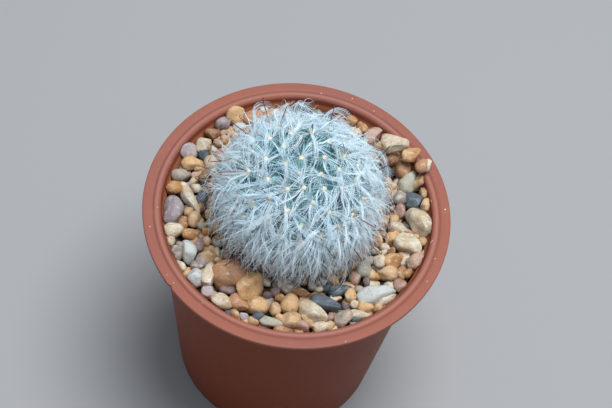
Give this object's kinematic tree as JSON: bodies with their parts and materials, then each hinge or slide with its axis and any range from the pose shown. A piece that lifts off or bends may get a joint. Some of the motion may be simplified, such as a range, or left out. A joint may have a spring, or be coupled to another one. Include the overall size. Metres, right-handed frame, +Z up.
{
  "type": "potted powder puff cactus",
  "caption": "Small round cactus covered in white hair-like spines, in a round tapered nursery pot topped with river pebbles.",
  "frame": {"origin": "middle of the foot ring that the pot stands on", "axes": "+Z up along the pot's axis, -Y towards the picture's viewer"},
  "size_m": [0.08, 0.08, 0.1067],
  "materials": {
    "pot": "terracotta-coloured moulded plastic, satin",
    "soil": "dark crumbly potting mix",
    "gravel": "tumbled river pebbles in tan, orange, cream, white, lilac and slate",
    "cactus": "blue-green stem under white hair-like spines, with red-brown hooked spines"
  },
  "bodies": {
    "root": {"pot": "pot", "soil": "soil", "gravel": "gravel", "cactus": "cactus"}
  },
  "joints": []
}
